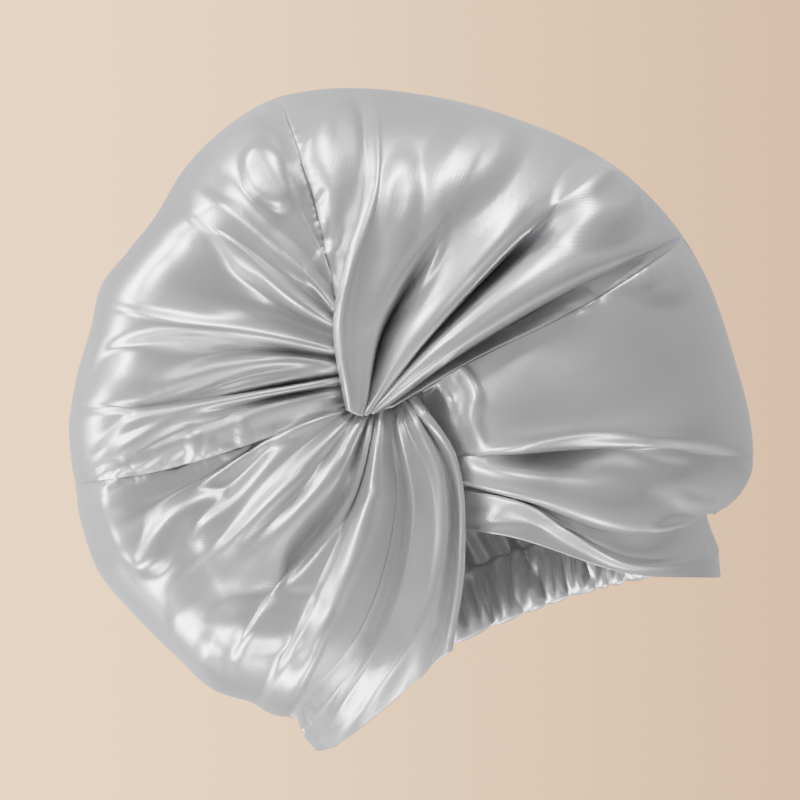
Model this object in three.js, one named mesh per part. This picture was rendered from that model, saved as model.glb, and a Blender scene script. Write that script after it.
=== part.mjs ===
// A satin sleep bonnet with a twisted front: a full round crown whose cloth is drawn into one knot at the
// front, a folded band that opens over the forehead, and a gathered elastic hem round the nape.
// Millimetres. The front faces -Y, +Z is up, and the origin is the middle of the head opening.
import * as THREE from "three";

// The crown.
const crownRadius = 167; // knot to the crown's side, seen from the front
const knotHeight = 147; // above the lowest hem
const knotSide = -7.5; // the knot sits a little to the wearer's right of the middle
const frontDepth = 104; // widest section to the fullest part of the front
const backDepth = 124; // widest section to the fullest part of the back
const widestY = 5; // where the crown is widest
const dimpleDepth = 12; // how far the knot draws the front in
const dimpleRadius = 34;
const foldHeight = 14; // the tables' lifts are shares of it
const gatherHeight = 3.2; // small gathers where the crown meets the hem
// The hem.
const rimHalfWidth = 109; // half the head opening, ear to ear
const rimSide = 4; // the opening's middle
const rimDepth = 92; // widest section to the forehead, at the hem
const rimFlare = 8; // how much wider the band is at its seam than at its hem
const napeLift = 20; // the hem is this much higher at the nape
const casingHeight = 28; // elastic casing at the nape
const casingThickness = 4.4;
const casingTaper = 7; // how far the casing draws in below its seam
const ruffleDepth = 2.6;
const ruffles = 24;
// The cloth.
const wall = 2.2;
const seamGap = 0.6;

// The outline seen from the front, round the knot: an angle and the radius as a share of crownRadius.
const outline = [
  { deg: -90, radius: 0.82 },
  { deg: -52, radius: 1.085 },
  { deg: -43, radius: 1.036 },
  { deg: -38, radius: 1.092 },
  { deg: -33, radius: 1.112 },
  { deg: -15, radius: 1.044 },
  { deg: 5, radius: 1.013 },
  { deg: 22, radius: 0.976 },
  { deg: 41, radius: 0.925 },
  { deg: 60, radius: 0.915 },
  { deg: 77, radius: 0.94 },
  { deg: 86, radius: 0.957 },
  { deg: 92, radius: 0.95 },
  { deg: 101, radius: 0.93 },
  { deg: 108, radius: 0.91 },
  { deg: 118, radius: 0.874 },
  { deg: 127, radius: 0.882 },
  { deg: 135, radius: 0.908 },
  { deg: 143, radius: 0.897 },
  { deg: 153, radius: 0.918 },
  { deg: 162, radius: 0.941 },
  { deg: 171, radius: 0.952 },
  { deg: 180, radius: 0.976 },
  { deg: 188, radius: 0.992 },
  { deg: 198, radius: 0.98 },
  { deg: 208, radius: 0.982 },
  { deg: 216, radius: 1 },
  { deg: 224, radius: 0.98 },
  { deg: 231, radius: 0.985 },
  { deg: 270, radius: 0.82 },
];

// How flat the front stays before it turns over the crown's edge, by direction: 2 is round, more is flatter.
const frontFullness = [
  { deg: -90, power: 4 },
  { deg: -35, power: 3.2 },
  { deg: 30, power: 3 },
  { deg: 75, power: 3.6 },
  { deg: 100, power: 8 },
  { deg: 130, power: 12 },
  { deg: 200, power: 12 },
  { deg: 235, power: 9 },
  { deg: 270, power: 5 },
];
const backFullness = 2.3;

// Fold lines run from the knot to the outline. x and z are the root, as shares of crownRadius from the knot,
// deg is where the line meets the outline, near and far bow the line to its left, as shares of its length,
// and the lifts stand proud (+) or sink (-) at the root, a tenth, a third and seven tenths of the way.
const seamRight = { x: 0.015, z: -0.03, deg: 5, near: 0, far: -0.02, lifts: [0.1, -0.3, -0.6, -0.25] };
const seamTop = { x: -0.124, z: 0.02, deg: 86, near: -0.02, far: -0.04, lifts: [0, 0.2, 0.1, -0.25] };
const seamLeft = { x: -0.122, z: 0.024, deg: 172, near: 0.03, far: 0.04, lifts: [-0.4, -0.4, -0.2, -0.1] };
const deepFold = { x: -0.004, z: -0.022, deg: 231, near: 0.09, far: 0.1, lifts: [-0.9, -0.6, -0.7, -1.0] };

const crownRightFolds = [
  seamRight,
  { x: -0.008, z: -0.026, deg: 6, near: 0.02, far: 0.02, lifts: [0.1, -0.4, -1.1, -0.5] },
  { x: -0.028, z: -0.02, deg: 8, near: 0.04, far: 0.05, lifts: [0.6, 0.7, 0.7, 0.3] },
  { x: -0.04, z: -0.018, deg: 13, near: 0.05, far: 0.08, lifts: [0.5, 0.3, 0.25, 0.15] },
  { x: -0.05, z: -0.017, deg: 19, near: 0.03, far: 0.06, lifts: [0.4, -0.1, -0.4, -0.8] },
  { x: -0.058, z: -0.016, deg: 27, near: 0.01, far: 0.02, lifts: [0.7, 0.6, 0.6, 0.6] },
  { x: -0.068, z: -0.016, deg: 39, near: 0.01, far: 0, lifts: [0.5, 0.4, 0.3, 0.1] },
  { x: -0.078, z: -0.014, deg: 50, near: 0.04, far: -0.03, lifts: [0.2, -0.3, -0.9, -0.1] },
  { x: -0.086, z: -0.01, deg: 56, near: 0.03, far: -0.05, lifts: [0.6, 0.5, 0.45, 0.25] },
  { x: -0.098, z: -0.004, deg: 62, near: 0.06, far: 0, lifts: [0.5, 0.4, 0.15, -0.1] },
  { x: -0.112, z: 0.008, deg: 69, near: 0.06, far: -0.01, lifts: [0.6, 0.8, 0.5, 0.15] },
  { x: -0.118, z: 0.013, deg: 74, near: 0.04, far: 0, lifts: [0.3, 0.5, 0.1, -0.4] },
  { x: -0.121, z: 0.017, deg: 80, near: 0.01, far: -0.02, lifts: [0.1, 0.3, 0.1, 0.4] },
  seamTop,
];

// The crown's left panel comes out from under the edge of the right one: tuck is how far down that edge each
// line starts, from where the top seam leaves the fold.
const tuckTop = 0.37;
const tuckUnder = 4;
const crownLeftFolds = [
  { ...seamTop, from: tuckTop },
  { tuck: 0.1, deg: 91, near: 0, far: 0, lifts: [-0.55, -0.5, -0.35, -0.25] },
  { tuck: 0.2, deg: 97, near: -0.03, far: -0.02, lifts: [-0.55, -0.1, 0.1, 0.45] },
  { tuck: 0.29, deg: 103, near: -0.02, far: 0.02, lifts: [-0.55, -0.4, -0.35, -0.1] },
  { tuck: 0.35, deg: 109, near: -0.03, far: -0.03, lifts: [-0.55, 0.2, 0.3, 0.25] },
  { tuck: 0.39, deg: 115, near: -0.01, far: -0.02, lifts: [-0.55, -0.2, -0.1, 0] },
  { tuck: 0.44, deg: 122, near: -0.01, far: -0.06, lifts: [-0.55, 0.4, 0.5, 0.35] },
  { tuck: 0.5, deg: 131, near: -0.04, far: -0.05, lifts: [-0.55, -0.5, -0.6, -0.5] },
  { tuck: 0.56, deg: 140, near: 0, far: 0.02, lifts: [-0.55, 0.4, 0.5, 0.4] },
  { tuck: 0.61, deg: 147, near: -0.01, far: 0.03, lifts: [-0.55, -0.4, -0.5, -0.4] },
  { tuck: 0.65, deg: 154, near: -0.02, far: 0.04, lifts: [-0.55, 0.3, 0.35, 0.4] },
  { tuck: 0.69, deg: 159, near: 0.02, far: 0.03, lifts: [-0.55, -0.6, -0.8, -0.5] },
  { tuck: 0.73, deg: 163, near: 0, far: -0.01, lifts: [-0.55, 0.35, 0.45, 0.35] },
  { tuck: 0.79, deg: 167, near: -0.01, far: 0.01, lifts: [-0.55, -0.4, -0.5, -0.35] },
  { tuck: 0.88, deg: 169.5, near: 0.01, far: 0.02, lifts: [-0.5, 0, 0.15, 0.1] },
  seamLeft,
];

const sideLeftFolds = [
  seamLeft,
  { x: -0.108, z: 0.024, deg: 179, near: 0.01, far: 0.05, lifts: [-0.9, -0.4, -0.25, -0.2] },
  { x: -0.099, z: 0.015, deg: 188, near: -0.05, far: -0.03, lifts: [-0.9, 0, 0.3, 0.5] },
  { x: -0.09, z: 0.008, deg: 195, near: -0.02, far: 0, lifts: [-0.9, -0.3, -0.2, 0] },
  { x: -0.08, z: 0.003, deg: 202, near: 0, far: 0, lifts: [-0.9, 0.1, 0.35, 0.3] },
  { x: -0.07, z: -0.001, deg: 208, near: 0.04, far: 0.01, lifts: [-0.9, 0.1, 0.4, 0.1] },
  { x: -0.058, z: -0.004, deg: 214, near: 0.05, far: 0.02, lifts: [-0.9, -0.3, -0.5, -0.2] },
  { x: -0.045, z: -0.007, deg: 219, near: 0.06, far: 0, lifts: [-0.9, 0.1, 0.2, 0.3] },
  { x: -0.032, z: -0.011, deg: 223, near: 0.05, far: 0.04, lifts: [-0.9, -0.3, -0.3, -0.3] },
  { x: -0.018, z: -0.016, deg: 227, near: 0.06, far: 0.06, lifts: [-0.9, 0.2, 0.5, 0.6] },
  deepFold,
];

// The right side panel starts behind the front band's left wrap.
const foldUnderWrap = { x: 0.08, z: -0.3, deg: -43, near: -0.03, far: -0.1, lifts: [-1.9, -1.2, -0.7, -0.6] };
const sideRightFolds = [
  foldUnderWrap,
  { x: 0.084, z: -0.285, deg: -40, near: -0.03, far: -0.09, lifts: [-1.9, -0.9, 0.3, 0.4] },
  { x: 0.09, z: -0.25, deg: -35, near: -0.02, far: -0.03, lifts: [-1.9, -0.9, 0.4, 0.5] },
  { x: 0.094, z: -0.225, deg: -31.5, near: 0.01, far: 0.04, lifts: [-1.9, -1, -0.6, -0.2] },
  { x: 0.098, z: -0.2, deg: -29, near: 0.02, far: 0.05, lifts: [-1.9, -0.8, 0.5, 0.3] },
  { x: 0.1, z: -0.12, deg: -20, near: -0.04, far: -0.03, lifts: [-1.8, -0.7, 0.1, 0.1] },
  { x: 0.108, z: -0.06, deg: -10, near: -0.06, far: -0.06, lifts: [-1.7, -0.6, 0.05, 0.05] },
  { x: 0.114, z: -0.03, deg: -1, near: -0.04, far: -0.05, lifts: [-1.5, -0.7, -0.15, -0.1] },
  seamRight,
];

// The front band's lines end on the hem: across is the end's distance from the opening's middle as a share of
// half its width, drop is how far it hangs below the knot as a share of knotHeight, and band is how far the
// line has left the crown's form for the forehead's.
const wrapLeftFolds = [
  deepFold,
  { x: 0.012, z: -0.026, across: -1, drop: 0.93, near: 0.09, far: 0.08, band: 0.6, lifts: [-0.7, 0, 0.5, 0.5] },
  { x: 0.028, z: -0.028, across: -1, drop: 1, near: 0.12, far: 0.12, band: 1, lifts: [-0.7, 0.2, 0.7, 0.7] },
  { x: 0.044, z: -0.026, across: -0.7, drop: 0.995, near: 0.12, far: 0.13, band: 1, lifts: [-0.7, 0.2, 0.5, 0.7] },
  { x: 0.058, z: -0.022, across: -0.48, drop: 0.94, near: 0.12, far: 0.11, band: 1, lifts: [-0.7, 0.4, 0.6, 0.7] },
  { x: 0.07, z: -0.018, across: -0.36, drop: 0.89, near: 0.12, far: 0.1, band: 1, lifts: [-0.7, 0.1, 0, 0.2] },
  { x: 0.082, z: -0.014, across: -0.27, drop: 0.853, near: 0.12, far: 0.1, band: 1, lifts: [-0.7, 0.3, 0.3, 0.3] },
  { x: 0.09, z: -0.012, across: -0.255, drop: 0.85, near: 0.125, far: 0.1, band: 1, lifts: [-0.7, -0.1, -0.3, -0.2] },
];
const wrapRightFolds = [
  foldUnderWrap,
  { x: 0.033, z: -0.287, across: 1, drop: 0.93, near: 0.01, far: -0.07, band: 1, lifts: [-1.4, -0.9, 0.3, 0.2] },
  { x: -0.003, z: -0.4, across: 1, drop: 1, near: 0.01, far: -0.04, band: 1, lifts: [-1.4, -1, 0, 0] },
];

// Shares of a line's length where its samples lie, close together at the knot and at the outline.
const frontSteps = [0, 0.04, 0.1, 0.18, 0.28, 0.4, 0.52, 0.64, 0.75, 0.85, 0.93, 0.98, 1];
const hiddenSteps = 2; // the right side starts this many steps along its seam, behind the wrap
const liftStations = [0, 0.1, 0.35, 0.7, 1];
const backRows = 8;
const casingRows = 4;
const samplesPerFold = 2;
const samplesPerRuffle = 4;
const earShare = 0.02; // the crown's first and last lines meet the casing this share of its length from its ends

const satin = { color: 0xc4c4c6, roughness: 0.28, metalness: 0.15 };

const rad = THREE.MathUtils.degToRad;
const lerp = THREE.MathUtils.lerp;
const clamp = THREE.MathUtils.clamp;
const ease = (t) => (1 - Math.cos(Math.PI * t)) / 2;

// A smooth curve through (keys[i], values[i]).
function curveAt(keys, values, at) {
  const last = keys.length - 1;
  let i = 0;
  while (i < last - 1 && at > keys[i + 1]) i++;
  const slope = (k) => {
    const low = Math.max(0, k - 1);
    const high = Math.min(last, k + 1);
    return (values[high] - values[low]) / (keys[high] - keys[low]);
  };
  const span = keys[i + 1] - keys[i];
  const t = clamp((at - keys[i]) / span, 0, 1);
  const t2 = t * t;
  const t3 = t2 * t;
  return (
    (2 * t3 - 3 * t2 + 1) * values[i] +
    (t3 - 2 * t2 + t) * span * slope(i) +
    (3 * t2 - 2 * t3) * values[i + 1] +
    (t3 - t2) * span * slope(i + 1)
  );
}

const outlineDegs = outline.map((row) => row.deg);
const outlineRadii = outline.map((row) => row.radius);
const fullnessDegs = frontFullness.map((row) => row.deg);
const fullnessPowers = frontFullness.map((row) => row.power);

function outlineRadius(deg) {
  return crownRadius * curveAt(outlineDegs, outlineRadii, deg);
}

// A place is a point seen from the front: x and z from the knot.
function outlinePlace(deg) {
  const radius = outlineRadius(deg);
  return new THREE.Vector2(radius * Math.cos(rad(deg)), radius * Math.sin(rad(deg)));
}

// The smooth crown over a place, and the way it faces: side is -1 for its front and 1 for its back.
function crownForm(place, side) {
  const radius = place.length();
  let deg = THREE.MathUtils.radToDeg(Math.atan2(place.y, place.x));
  if (deg < -90) deg += 360;
  const reach = Math.min(1, radius / outlineRadius(deg));
  const depth = side < 0 ? frontDepth : backDepth;
  const dimple = side < 0 ? dimpleDepth * Math.exp(-((radius / dimpleRadius) ** 2)) : 0;
  const power = side < 0 ? curveAt(fullnessDegs, fullnessPowers, deg) : backFullness;
  const y = widestY + side * (depth * Math.sqrt(1 - reach ** power) - dimple);
  const tilt = reach ** (power / 2);
  const level = side * Math.sqrt(1 - tilt * tilt);
  return {
    point: new THREE.Vector3(knotSide + place.x, y, knotHeight + place.y),
    normal: new THREE.Vector3(tilt * Math.cos(rad(deg)), level, tilt * Math.sin(rad(deg))),
  };
}

// Half the head opening's width at a height above its hem.
function halfWidth(height) {
  return rimHalfWidth + (rimFlare * clamp(height, 0, casingHeight)) / casingHeight;
}

// The front band's form over a place, which follows the forehead.
function bandForm(place) {
  const x = knotSide + place.x;
  const height = clamp(knotHeight + place.y, 0, knotHeight);
  const depth = lerp(rimDepth, frontDepth - dimpleDepth, (height / knotHeight) ** 0.7);
  const across = clamp((x - rimSide) / halfWidth(height), -1, 1);
  const level = Math.sqrt(1 - across * across);
  return {
    point: new THREE.Vector3(x, widestY - depth * level, knotHeight + place.y),
    normal: new THREE.Vector3(across, -level, 0),
  };
}

// The smooth front over a place: band is how far it has left the crown's form for the forehead's.
function frontForm(place, band) {
  const form = crownForm(place, -1);
  if (band > 0) {
    const forehead = bandForm(place);
    form.point.lerp(forehead.point, band);
    form.normal.lerp(forehead.normal, band).normalize();
  }
  return form;
}

// The place a share of the way along a fold line.
function alongLine(root, end, row, share) {
  const chord = end.clone().sub(root);
  const left = new THREE.Vector2(-chord.y, chord.x);
  const bow = curveAt([0, 0.28, 0.66, 1], [0, row.near, row.far, 0], share);
  return root.clone().addScaledVector(chord, share).addScaledVector(left, bow);
}

const rootOf = (row) => new THREE.Vector2(row.x * crownRadius, row.z * crownRadius);

function tuckedRoot(row) {
  const share = tuckTop * (1 - row.tuck);
  const edge = alongLine(rootOf(seamTop), outlinePlace(seamTop.deg), seamTop, share);
  return edge.add(new THREE.Vector2(lerp(-seamGap, tuckUnder, clamp(row.tuck / 0.1 - 1, 0, 1)), 0));
}

function hemPlace(row) {
  const height = knotHeight * (1 - row.drop);
  const x = rimSide + row.across * halfWidth(height);
  return new THREE.Vector2(x - knotSide, height - knotHeight);
}

// The samples of one fold line, from a share of the way along it to its end.
function lineSamples(row, steps) {
  const root = row.tuck === undefined ? rootOf(row) : tuckedRoot(row);
  const end = row.across === undefined ? outlinePlace(row.deg) : hemPlace(row);
  const from = row.from ?? 0;
  return steps.map((step) => {
    const share = lerp(from, 1, step);
    const lift = foldHeight * curveAt(liftStations, [...row.lifts, 0], share);
    const place = alongLine(root, end, row, share);
    return { place, lift, ...frontForm(place, row.band ?? 0) };
  });
}

// Between two lines the lifts ease, so each line is a rounded ridge or valley. Crown samples stay on the
// crown's form, out to endPlace on its outline, and the band's run straight from one line to the next.
function samplesBetween(a, b, t, steps, endPlace) {
  const last = a.length - 1;
  const shift = endPlace?.clone().sub(a[last].place.clone().lerp(b[last].place, t));
  return a.map((sample, k) => {
    const lift = lerp(sample.lift, b[k].lift, ease(t));
    const place = sample.place.clone().lerp(b[k].place, t);
    if (endPlace) return { lift, ...crownForm(place.addScaledVector(shift, steps[k] ** 2), -1) };
    const point = sample.point.clone().lerp(b[k].point, t);
    const normal = sample.normal.clone().lerp(b[k].normal, t).normalize();
    return { lift, point, normal };
  });
}

const lifted = ({ point, normal, lift }) => ({ point: point.clone().addScaledVector(normal, lift), normal });

// The seam between the crown and the casing, by its share of the way from the right ear to the left.
function casingEdge(share, height) {
  const turn = Math.PI * share;
  const nape = Math.sin(turn) ** 1.5;
  const earTop = knotHeight + lerp(outlinePlace(foldUnderWrap.deg).y, outlinePlace(deepFold.deg).y, share);
  const z = lerp(0, lerp(earTop, casingHeight, nape), height) + napeLift * nape;
  const half = lerp(rimHalfWidth, halfWidth(casingHeight), height);
  const taper = casingTaper * nape * (1 - height);
  const normal = new THREE.Vector3(Math.cos(turn), Math.sin(turn), 0);
  const point = new THREE.Vector3(rimSide + half * Math.cos(turn), widestY + rimDepth * Math.sin(turn), z);
  return { point: point.addScaledVector(normal, -taper), normal };
}

// The back of a fold line, from the outline down to the casing, where it ends in a gather.
function backLine(deg, column) {
  const share = lerp(earShare, 1 - earShare, (deg - foldUnderWrap.deg) / (deepFold.deg - foldUnderWrap.deg));
  const seam = casingEdge(share, 1);
  const start = outlinePlace(deg);
  const end = new THREE.Vector2(seam.point.x - knotSide, seam.point.z - knotHeight);
  const miss = seam.point.y - crownForm(end, 1).point.y;
  const sweep = rad(lerp(90, 138, Math.max(0, Math.sin(rad(deg)))));
  const line = [];
  for (let k = 1; k <= backRows; k++) {
    const v = k / backRows;
    const along = (1 - Math.cos(sweep * v)) / (1 - Math.cos(sweep));
    const { point, normal } = crownForm(start.clone().lerp(end, along), 1);
    point.y += miss * v * v;
    normal.lerp(seam.normal, v * v).normalize();
    const gather = gatherHeight * v * v * Math.cos((Math.PI * column) / 2);
    line.push({ point: point.addScaledVector(normal, gather), normal });
  }
  return line;
}

// The columns of a panel's grid: each has a row of front samples and, for the crown, the back line below it.
function panelColumns(table, { steps = frontSteps, withBack = true, firstColumn = 0 } = {}) {
  const lines = table.map((row) => lineSamples(row, steps));
  const columns = [];
  table.forEach((row, i) => {
    const next = table[i + 1];
    const count = next ? samplesPerFold : 1;
    for (let k = 0; k < count; k++) {
      const t = k / count;
      const deg = t ? lerp(row.deg, next.deg, t) : row.deg;
      const samples = t
        ? samplesBetween(lines[i], lines[i + 1], t, steps, withBack ? outlinePlace(deg) : null)
        : lines[i];
      const front = samples.map(lifted);
      columns.push(withBack ? [...front, ...backLine(deg, firstColumn + columns.length)] : front);
    }
  });
  return columns;
}

// Moves an edge half a seam's gap squarely towards the points next to it.
function drawIn(edge, next) {
  return edge.map((sample, k) => {
    const before = edge[Math.max(0, k - 1)].point;
    const after = edge[Math.min(edge.length - 1, k + 1)].point;
    const along = after.clone().sub(before).normalize();
    const way = next[k].point.clone().sub(sample.point);
    way.addScaledVector(along, -way.dot(along));
    const move = Math.min(seamGap / 2, 0.45 * way.length());
    return { point: sample.point.clone().addScaledVector(way.normalize(), move), normal: sample.normal };
  });
}

function withSeamGaps(columns) {
  const last = columns.length - 1;
  const drawn = columns.slice();
  drawn[0] = drawIn(columns[0], columns[1]);
  drawn[last] = drawIn(columns[last], columns[last - 1]);
  return drawn;
}

function withHemGap(columns) {
  return columns.map((column) => {
    const last = column.length - 1;
    const [end] = drawIn([column[last]], [column[last - 1]]);
    return [...column.slice(0, last), end];
  });
}

// A cloth wall from a grid of outer points, each with the way the cloth faces there.
function clothWall(name, columns, thickness = wall) {
  const rows = columns[0].length;
  const positions = [];
  const indices = [];
  for (const column of columns) {
    for (const { point, normal } of column) {
      positions.push(...point.toArray());
      positions.push(...point.clone().addScaledVector(normal, -thickness).toArray());
    }
  }
  const id = (i, j, layer) => 2 * (i * rows + j) + layer;
  const quad = (a, b, c, d) => indices.push(a, b, c, a, c, d);
  const lastColumn = columns.length - 1;
  for (let i = 0; i < lastColumn; i++) {
    for (let j = 0; j < rows - 1; j++) {
      quad(id(i, j, 0), id(i + 1, j, 0), id(i + 1, j + 1, 0), id(i, j + 1, 0));
      quad(id(i, j, 1), id(i, j + 1, 1), id(i + 1, j + 1, 1), id(i + 1, j, 1));
    }
    quad(id(i, 0, 0), id(i, 0, 1), id(i + 1, 0, 1), id(i + 1, 0, 0));
    quad(id(i, rows - 1, 0), id(i + 1, rows - 1, 0), id(i + 1, rows - 1, 1), id(i, rows - 1, 1));
  }
  for (let j = 0; j < rows - 1; j++) {
    quad(id(0, j, 0), id(0, j + 1, 0), id(0, j + 1, 1), id(0, j, 1));
    quad(id(lastColumn, j, 0), id(lastColumn, j, 1), id(lastColumn, j + 1, 1), id(lastColumn, j + 1, 0));
  }
  return solidMesh(name, positions, indices);
}

function solidMesh(name, positions, indices) {
  let volume = 0;
  const corner = (n) => new THREE.Vector3().fromArray(positions, 3 * n);
  for (let i = 0; i < indices.length; i += 3) {
    volume += corner(indices[i]).dot(corner(indices[i + 1]).cross(corner(indices[i + 2])));
  }
  const facing = volume < 0 ? indices.slice().reverse() : indices;
  const geometry = new THREE.BufferGeometry();
  geometry.setAttribute("position", new THREE.Float32BufferAttribute(positions, 3));
  geometry.setIndex(facing);
  geometry.computeVertexNormals();
  const mesh = new THREE.Mesh(geometry, new THREE.MeshStandardMaterial(satin));
  mesh.name = name;
  return mesh;
}

// The elastic casing runs round the nape from ear to ear, gathered into ruffles.
function casingColumns() {
  const count = ruffles * samplesPerRuffle;
  const end = seamGap / (Math.PI * rimDepth);
  const columns = [];
  for (let i = 0; i <= count; i++) {
    const share = lerp(end, 1 - end, i / count);
    const ruffle = ruffleDepth * Math.cos((2 * Math.PI * i) / samplesPerRuffle);
    const column = [];
    for (let j = 0; j <= casingRows; j++) {
      const height = 1 - j / casingRows;
      const { point, normal } = casingEdge(share, height);
      const swell = ruffle * Math.sin(Math.PI * clamp(0.15 + 0.7 * height, 0, 1));
      if (j === 0) point.z -= seamGap;
      column.push({ point: point.addScaledVector(normal, swell), normal });
    }
    columns.push(column);
  }
  return columns;
}

const columnsOf = (table) => (table.length - 1) * samplesPerFold;
const hiddenShare = frontSteps[hiddenSteps];
const rightSteps = frontSteps.slice(hiddenSteps).map((step) => (step - hiddenShare) / (1 - hiddenShare));
const seamRightShown = { ...seamRight, from: hiddenShare };
const rightTable = [...sideRightFolds.slice(0, -1), seamRightShown];
const rightCount = columnsOf(sideRightFolds);
const crownRightCount = rightCount + columnsOf(crownRightFolds);
const crownLeftCount = crownRightCount + columnsOf(crownLeftFolds);

const panels = {
  crown_right: panelColumns(crownRightFolds, { firstColumn: rightCount }),
  crown_left: panelColumns(crownLeftFolds, { firstColumn: crownRightCount }),
  side_left: panelColumns(sideLeftFolds, { firstColumn: crownLeftCount }),
  side_right: panelColumns(rightTable, { steps: rightSteps }),
};
const wraps = {
  front_wrap_left: panelColumns(wrapLeftFolds, { withBack: false }),
  front_wrap_right: panelColumns(wrapRightFolds, { steps: rightSteps, withBack: false }),
};

const group = new THREE.Group();
for (const [name, columns] of Object.entries(panels)) {
  group.add(clothWall(name, withHemGap(withSeamGaps(columns))));
}
for (const [name, columns] of Object.entries(wraps)) {
  group.add(clothWall(name, withSeamGaps(columns)));
}
group.add(clothWall("elastic_casing", casingColumns(), casingThickness));

export default group;
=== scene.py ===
"""A silver satin sleep bonnet with a twisted front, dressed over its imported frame.

Each panel of cloth is a smooth sheet laid through named fold lines. The lines run from the knot to the
bonnet's outline and on over the back to the elastic casing. Sizes are in millimetres until a mesh is made.
"""

import math
from collections import namedtuple

from mathutils import Matrix, Vector

import bpy
import numpy as np


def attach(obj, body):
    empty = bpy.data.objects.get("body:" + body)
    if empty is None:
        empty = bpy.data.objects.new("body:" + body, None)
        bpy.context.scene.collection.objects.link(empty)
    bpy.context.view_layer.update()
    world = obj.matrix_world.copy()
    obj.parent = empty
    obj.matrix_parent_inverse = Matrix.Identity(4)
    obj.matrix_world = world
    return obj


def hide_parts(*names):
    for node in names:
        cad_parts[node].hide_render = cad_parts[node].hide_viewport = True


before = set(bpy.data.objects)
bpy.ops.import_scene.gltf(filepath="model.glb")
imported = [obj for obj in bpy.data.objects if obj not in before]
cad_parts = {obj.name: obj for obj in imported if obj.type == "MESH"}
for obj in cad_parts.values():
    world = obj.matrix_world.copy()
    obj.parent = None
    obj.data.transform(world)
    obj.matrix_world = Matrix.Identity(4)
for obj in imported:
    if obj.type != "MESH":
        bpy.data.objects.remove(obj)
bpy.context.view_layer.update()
MM = 0.001

# The bonnet is turned in the picture, so the camera rolls, and the lights keep their places in the picture.
# Distances and places here are in metres. A clock direction is in degrees anticlockwise from the picture's
# right, and a tilt is in degrees away from the camera.
ROLL = math.radians(-23)
CAMERA_DISTANCE = 4.0
CAMERA_X = -0.0006
CAMERA_HEIGHT = 0.1441
PICTURE_WIDTH = 0.4
SENSOR_WIDTH = 36
LIGHT_DISTANCE = 1.8

# The wall behind the bonnet fades from left to right. The room round it is brightest behind and above, and
# it has one dark corner.
WALL_LEFT = (2.9, 1.83, 0.87)
WALL_RIGHT = (1.59, 0.93, 0.45)
WALL_FADE = (-0.06, 0.06)
ROOM_BRIGHTEST = (-0.46, 0.75, 0.47)
ROOM_DARK = (0.45, 0.45, 0.455)
ROOM_LIGHT = (0.66, 0.66, 0.68)
ROOM_FADE = (-1, 0.7)
ROOM_CORNER = (0.05, 0.05, 0.055)
CORNER_CLOCK = 322
CORNER_TILT = 84
CORNER_FADE = (0.5, 0.9)

# The sockets of a colour mix.
MIX_SHARE = 0
MIX_FROM = 6
MIX_TO = 7
MIX_RESULT = 2

# The crown, in the same places as the frame's solids.
CROWN_RADIUS = 167
KNOT_HEIGHT = 147
KNOT_SIDE = -7.5
WIDEST_Y = 5
FRONT_DEPTH = 104
BACK_DEPTH = 124
BACK_FULLNESS = 2.3
DIMPLE_DEPTH = 12
DIMPLE_RADIUS = 34
FOLD_HEIGHT = 14

# The hem and the casing.
RIM_HALF_WIDTH = 109
RIM_SIDE = 4
RIM_DEPTH = 92
RIM_FLARE = 8
NAPE_LIFT = 20
CASING_HEIGHT = 28
CASING_TAPER = 7
CASING_PITCH = 13
EAR_SHARE = 0.02
CASING_TURN = 1
EAR_TUCK = 7
EAR_LIFT = 5
NAPE_SHAPE = 1.5
BAND_BULGE = 0.7

# The back's lines swing this many degrees over to the casing, from the sides and from the top. They gather
# there in narrow and wide waves, and billow between the outline and the casing.
SWING_FROM_SIDES = 90
SWING_FROM_TOP = 138
NAPE_ARC = 300
GATHER_HEIGHT = 2.2
GATHER_PITCH = 11
WIDE_GATHER_HEIGHT = 1.3
WIDE_GATHER_PITCH = 17
BILLOW_HEIGHT = 2.5
BILLOW_LENGTH = 8.5

# The casing runs from hem to seam with rounded edges that reach a little past both, as shares of its height.
# On it are plump ruffles, the crumples in them and the scallops of its edges.
CASING_START = 0.004
CASING_MIDDLE = 0.53
CASING_REACH = 0.56
CASING_ROUNDNESS = 0.8
CASING_LOWEST = -0.03
CASING_HIGHEST = 1.09
CASING_END_FADE = 0.02
RUFFLE_DEPTH = 4.4
RUFFLE_PLUMPNESS = 0.6
RUFFLE_SLANT = 5
CRUMPLE_DEPTH = 1.5
CRUMPLE_LENGTH = 1.05
SCALLOP = 1.6
CASING_INSET = 1.2

SHEET_THICKNESS = 1.1
FLOOR_RADIUS = 6000
FLOOR_DROP = 1750
FLOOR_SIDES = 96
ROWS_ALONG_FRONT = 120
ROWS_ALONG_BACK = 60
COLUMNS_PER_FOLD = 12
CASING_COLUMNS = 460
CASING_ROUND = 40
CROWDING = 0.09

OUTLINE = [
    (-90, 0.82), (-52, 1.085), (-43, 1.036), (-38, 1.092), (-33, 1.112), (-15, 1.044), (5, 1.013),
    (22, 0.976), (41, 0.925), (60, 0.915), (77, 0.94), (86, 0.957), (92, 0.95), (101, 0.93),
    (108, 0.91), (118, 0.874), (127, 0.882), (135, 0.908), (143, 0.897), (153, 0.918), (162, 0.941),
    (171, 0.952), (180, 0.976), (188, 0.992), (198, 0.98), (208, 0.982), (216, 1), (224, 0.98),
    (231, 0.985), (270, 0.82),
]

# How flat the crown's front stays before it turns over its edge, by direction: 2 is round, more is flatter.
FRONT_FULLNESS = [
    (-90, 4), (-35, 3.2), (30, 3), (75, 3.6), (100, 8), (130, 15), (200, 16), (235, 10), (270, 5),
]

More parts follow.
